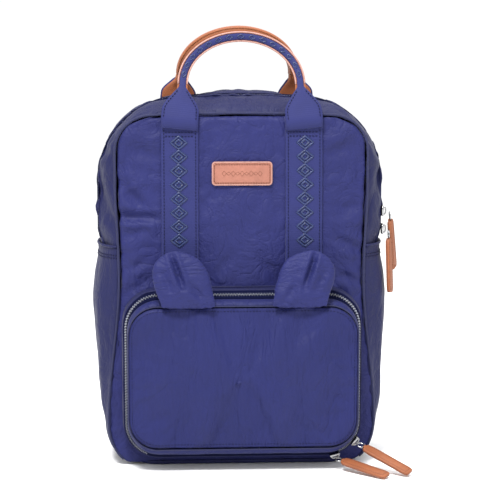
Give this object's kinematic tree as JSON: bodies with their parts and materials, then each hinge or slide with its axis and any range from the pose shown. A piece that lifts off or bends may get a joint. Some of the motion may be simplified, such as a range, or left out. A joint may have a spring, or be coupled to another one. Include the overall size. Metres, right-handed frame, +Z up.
{
  "type": "school backpack",
  "caption": "Soft zipped backpack with a rounded body, a zipped front pocket with padded ears, open side pockets, grip handles, leather pulls and padded shoulder straps.",
  "frame": {"origin": "centre of the flat underside, on the floor", "axes": "+Z up, -Y the front with the zipped pocket, +X to the right seen from the front"},
  "size_m": [0.3223, 0.2054, 0.455],
  "materials": {
    "navy_cloth": "smooth crinkled nylon, padded",
    "lining": "plain woven lining",
    "foam": "open-cell foam sheet",
    "back_mesh": "knitted spacer mesh",
    "stiffener": "matt sheet",
    "leather": "smooth tan leather, raw edges",
    "webbing": "flat woven webbing",
    "buckle": "moulded, satin",
    "metal": "bright nickel plate",
    "zip_tape": "coil zip on woven tape"
  },
  "bodies": {
    "bag": {"back_foam": "foam", "back_lining": "lining", "back_panel": "back_mesh", "base_board": "stiffener", "bottom_panel": "navy_cloth", "front_fold": "navy_cloth", "front_strap_lower_left": "webbing", "front_strap_lower_right": "webbing", "lower_front_panel": "navy_cloth", "main_zip_rear": "zip_tape", "pocket_gusset": "navy_cloth", "pocket_zip_outer": "zip_tape", "rear_gusset": "navy_cloth", "side_panel_left": "navy_cloth", "side_panel_right": "navy_cloth", "side_pocket_left": "navy_cloth", "side_pocket_right": "navy_cloth", "strap_anchor_left": "navy_cloth", "strap_anchor_right": "navy_cloth", "strap_webbing_left": "webbing", "strap_webbing_right": "webbing", "strap_yoke": "navy_cloth", "tablet_sleeve": "lining"},
    "front_cover": {"upper_front_panel": "navy_cloth", "front_gusset": "navy_cloth", "main_zip_front": "zip_tape", "front_strap_left": "webbing", "front_strap_right": "webbing", "leather_label": "leather"},
    "front_handle": {"front_handle_webbing": "webbing", "front_handle_leather": "leather"},
    "rear_handle": {"rear_handle_webbing": "webbing", "rear_handle_leather": "leather"},
    "pocket_flap": {"pocket_face": "navy_cloth", "pocket_rim": "navy_cloth", "pocket_zip_inner": "zip_tape"},
    "ear_left": {"ear_left": "navy_cloth"},
    "ear_right": {"ear_right": "navy_cloth"},
    "shoulder_strap_left": {"shoulder_pad_left": "back_mesh", "ladder_lock_left": "buckle"},
    "shoulder_strap_right": {"shoulder_pad_right": "back_mesh", "ladder_lock_right": "buckle"},
    "main_slider_upper": {"main_slider_upper": "metal"},
    "main_pull_upper_link": {"main_pull_upper_link": "metal"},
    "main_pull_upper_tab": {"main_pull_upper_tab": "leather"},
    "main_slider_lower": {"main_slider_lower": "metal"},
    "main_pull_lower_link": {"main_pull_lower_link": "metal"},
    "main_pull_lower_tab": {"main_pull_lower_tab": "leather"},
    "pocket_slider_side": {"pocket_slider_side": "metal"},
    "pocket_pull_side_link": {"pocket_pull_side_link": "metal"},
    "pocket_pull_side_tab": {"pocket_pull_side_tab": "leather"},
    "pocket_slider_bottom": {"pocket_slider_bottom": "metal"},
    "pocket_pull_bottom_link": {"pocket_pull_bottom_link": "metal"},
    "pocket_pull_bottom_tab": {"pocket_pull_bottom_tab": "leather"}
  },
  "joints": [
    {"name": "cover_open", "type": "hinge", "parent": "bag", "child": "front_cover", "pos_m": [0, -0.0548, 0.214], "axis": [1, 0, 0], "range_deg": [0, 50]},
    {"name": "front_handle_tip", "type": "hinge", "parent": "front_cover", "child": "front_handle", "pos_m": [0, -0.053, 0.36], "axis": [1, 0, 0], "range_deg": [0, 120]},
    {"name": "rear_handle_tip", "type": "hinge", "parent": "bag", "child": "rear_handle", "pos_m": [0, 0.054, 0.376], "axis": [1, 0, 0], "range_deg": [-100, 0]},
    {"name": "flap_open", "type": "hinge", "parent": "bag", "child": "pocket_flap", "pos_m": [0, -0.079, 0.014], "axis": [1, 0, 0], "range_deg": [0, 65]},
    {"name": "ear_left_fold", "type": "hinge", "parent": "pocket_flap", "child": "ear_left", "pos_m": [-0.062, -0.0925, 0.171], "axis": [1, 0, 0], "range_deg": [-5, 60]},
    {"name": "ear_right_fold", "type": "hinge", "parent": "pocket_flap", "child": "ear_right", "pos_m": [0.062, -0.0925, 0.171], "axis": [1, 0, 0], "range_deg": [-5, 60]},
    {"name": "shoulder_left_swing", "type": "hinge", "parent": "bag", "child": "shoulder_strap_left", "pos_m": [-0.046, 0.0644, 0.344], "axis": [1, 0, 0], "range_deg": [0, 35]},
    {"name": "shoulder_right_swing", "type": "hinge", "parent": "bag", "child": "shoulder_strap_right", "pos_m": [0.046, 0.0644, 0.344], "axis": [1, 0, 0], "range_deg": [0, 35]},
    {"name": "main_slider_upper_slide", "type": "slide", "parent": "bag", "child": "main_slider_upper", "axis": [0, 0, 1], "range_m": [0, 0.04]},
    {"name": "main_pull_upper_lift", "type": "hinge", "parent": "main_slider_upper", "child": "main_pull_upper_link", "pos_m": [0.1575, -0.0145, 0.26], "axis": [0, -0.9578, -0.2873], "range_deg": [0, 80]},
    {"name": "main_pull_upper_swing", "type": "hinge", "parent": "main_pull_upper_link", "child": "main_pull_upper_tab", "pos_m": [0.15849, -0.01222, 0.2524], "axis": [0.9923, -0.0355, 0.1184], "range_deg": [-6, 15]},
    {"name": "main_slider_lower_slide", "type": "slide", "parent": "bag", "child": "main_slider_lower", "axis": [0, 0, 1], "range_m": [0, 0.006]},
    {"name": "main_pull_lower_lift", "type": "hinge", "parent": "main_slider_lower", "child": "main_pull_lower_link", "pos_m": [0.1562, -0.0175, 0.241], "axis": [0, -0.9929, 0.1191], "range_deg": [0, 30]},
    {"name": "main_pull_lower_swing", "type": "hinge", "parent": "main_pull_lower_link", "child": "main_pull_lower_tab", "pos_m": [0.15636, -0.01845, 0.23306], "axis": [0.9998, 0.0024, 0.0197], "range_deg": [-15, 8]},
    {"name": "pocket_slider_side_round", "type": "hinge", "parent": "bag", "child": "pocket_slider_side", "pos_m": [0.086, -0.0706, 0.049], "axis": [0, -1, 0], "range_deg": [0, 35]},
    {"name": "pocket_pull_side_lift", "type": "hinge", "parent": "pocket_slider_side", "child": "pocket_pull_side_link", "pos_m": [0.11844, -0.0762, 0.02629], "axis": [-0.6369, -0.733, -0.2391], "range_deg": [0, 50]},
    {"name": "pocket_pull_side_swing", "type": "hinge", "parent": "pocket_pull_side_link", "child": "pocket_pull_side_tab", "pos_m": [0.12453, -0.08059, 0.02352], "axis": [0.1218, -0.4019, 0.9075], "range_deg": [-5, 12]},
    {"name": "pocket_slider_bottom_round", "type": "hinge", "parent": "bag", "child": "pocket_slider_bottom", "pos_m": [0.086, -0.0706, 0.049], "axis": [0, -1, 0], "range_deg": [0, 5]},
    {"name": "pocket_pull_bottom_lift", "type": "hinge", "parent": "pocket_slider_bottom", "child": "pocket_pull_bottom_link", "pos_m": [0.09625, -0.0762, 0.01075], "axis": [-0.6856, -0.6966, -0.2112], "range_deg": [0, 8]},
    {"name": "pocket_pull_bottom_swing", "type": "hinge", "parent": "pocket_pull_bottom_link", "child": "pocket_pull_bottom_tab", "pos_m": [0.10205, -0.08163, 0.0098], "axis": [-0.0608, -0.2343, 0.9703], "range_deg": [-12, 4]}
  ]
}
